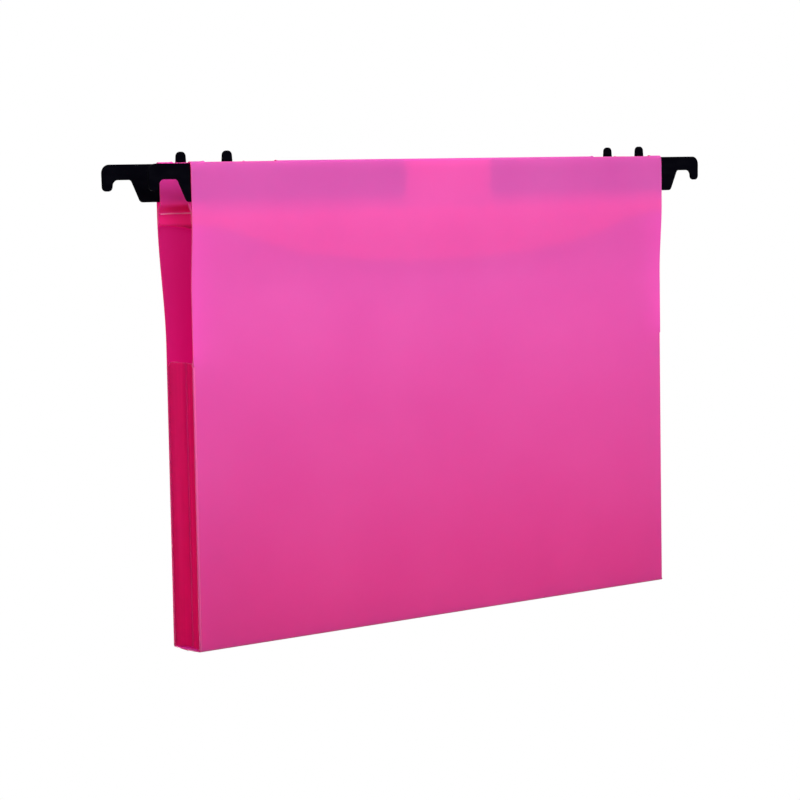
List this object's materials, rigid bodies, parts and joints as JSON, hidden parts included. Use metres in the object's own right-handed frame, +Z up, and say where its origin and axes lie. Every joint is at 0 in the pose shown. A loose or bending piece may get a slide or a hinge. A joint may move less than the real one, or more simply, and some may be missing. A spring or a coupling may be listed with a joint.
{
  "type": "hanging document pocket",
  "caption": "Gusseted translucent plastic document pocket that hangs in a filing drawer from sliding hook bars held in sleeves along its top edges.",
  "frame": {"origin": "on the pocket's middle plane, midway between the front and back hook bars, at the height of the hooks' seats", "axes": "+X to the right seen from the front, along the hook bars; +Y from the front panel to the back panel; +Z up"},
  "size_m": [0.4147, 0.0332, 0.2661],
  "materials": {
    "pocket_sheet": "translucent pink polypropylene sheet, fine satin grain",
    "hook_bar": "black injection-moulded plastic, satin"
  },
  "bodies": {
    "back": {"back_panel": "pocket_sheet", "back_hem_flap": "pocket_sheet", "left_gusset_weld_tab": "pocket_sheet", "right_gusset_weld_tab": "pocket_sheet"},
    "left_gusset_rear": {"left_gusset_rear_strip": "pocket_sheet"},
    "left_gusset_front": {"left_gusset_front_strip": "pocket_sheet"},
    "front": {"front_panel": "pocket_sheet", "front_hem_flap": "pocket_sheet"},
    "right_gusset_rear": {"right_gusset_rear_strip": "pocket_sheet"},
    "right_gusset_front": {"right_gusset_front_strip": "pocket_sheet"},
    "base_back": {"base_back_strip": "pocket_sheet"},
    "base_front": {"base_front_strip": "pocket_sheet"},
    "front_left_bar": {"front_left_hook_bar": "hook_bar"},
    "front_right_bar": {"front_right_hook_bar": "hook_bar"},
    "back_left_bar": {"back_left_hook_bar": "hook_bar"},
    "back_right_bar": {"back_right_hook_bar": "hook_bar"}
  },
  "joints": [
    {"name": "left_gusset_rear_crease", "type": "hinge", "parent": "back", "child": "left_gusset_rear", "pos_m": [-0.1719, 0.0092, -0.1737], "axis": [0, 0, 1], "range_deg": [0, 74], "stiffness_Nm_per_rad": 0.01},
    {"name": "pocket_fold", "type": "hinge", "parent": "left_gusset_rear", "child": "left_gusset_front", "pos_m": [-0.16902, -0.0021, -0.1737], "axis": [0, 0, 1], "range_deg": [-140, 0], "stiffness_Nm_per_rad": 0.01},
    {"name": "front_panel_crease", "type": "hinge", "parent": "left_gusset_front", "child": "front", "pos_m": [-0.1719, -0.0134, -0.1737], "axis": [0, 0, 1], "range_deg": [0, 74], "stiffness_Nm_per_rad": 0.01},
    {"name": "right_gusset_rear_crease", "type": "hinge", "parent": "back", "child": "right_gusset_rear", "pos_m": [0.1719, 0.0092, -0.1737], "axis": [0, 0, 1], "range_deg": [-74, 0], "stiffness_Nm_per_rad": 0.01},
    {"name": "right_gusset_crest", "type": "hinge", "parent": "right_gusset_rear", "child": "right_gusset_front", "pos_m": [0.16902, -0.0021, -0.1737], "axis": [0, 0, 1], "range_deg": [0, 148], "stiffness_Nm_per_rad": 0.01},
    {"name": "base_back_crease", "type": "hinge", "parent": "back", "child": "base_back", "pos_m": [0, 0.0107, -0.25055], "axis": [1, 0, 0], "range_deg": [0, 84], "stiffness_Nm_per_rad": 0.05},
    {"name": "base_centre_crease", "type": "hinge", "parent": "base_back", "child": "base_front", "pos_m": [0, -0.00165, -0.25064], "axis": [1, 0, 0], "range_deg": [-168, 0], "stiffness_Nm_per_rad": 0.05},
    {"name": "front_left_bar_slide", "type": "slide", "parent": "front", "child": "front_left_bar", "axis": [-1, 0, 0], "range_m": [-0.02805, 0.01185]},
    {"name": "front_right_bar_slide", "type": "slide", "parent": "front", "child": "front_right_bar", "axis": [1, 0, 0], "range_m": [-0.03505, 0.00485]},
    {"name": "back_left_bar_slide", "type": "slide", "parent": "back", "child": "back_left_bar", "axis": [-1, 0, 0], "range_m": [-0.03745, 0.00245]},
    {"name": "back_right_bar_slide", "type": "slide", "parent": "back", "child": "back_right_bar", "axis": [1, 0, 0], "range_m": [-0.03715, 0.00275]}
  ],
  "couplings": [
    {"joint": "left_gusset_rear_crease", "follows": "pocket_fold", "ratio": -0.5},
    {"joint": "front_panel_crease", "follows": "pocket_fold", "ratio": -0.5},
    {"joint": "right_gusset_rear_crease", "follows": "pocket_fold", "ratio": 0.5},
    {"joint": "right_gusset_crest", "follows": "pocket_fold", "ratio": -1},
    {"joint": "base_back_crease", "follows": "pocket_fold", "ratio": -0.5664},
    {"joint": "base_centre_crease", "follows": "pocket_fold", "ratio": 1.1328}
  ]
}
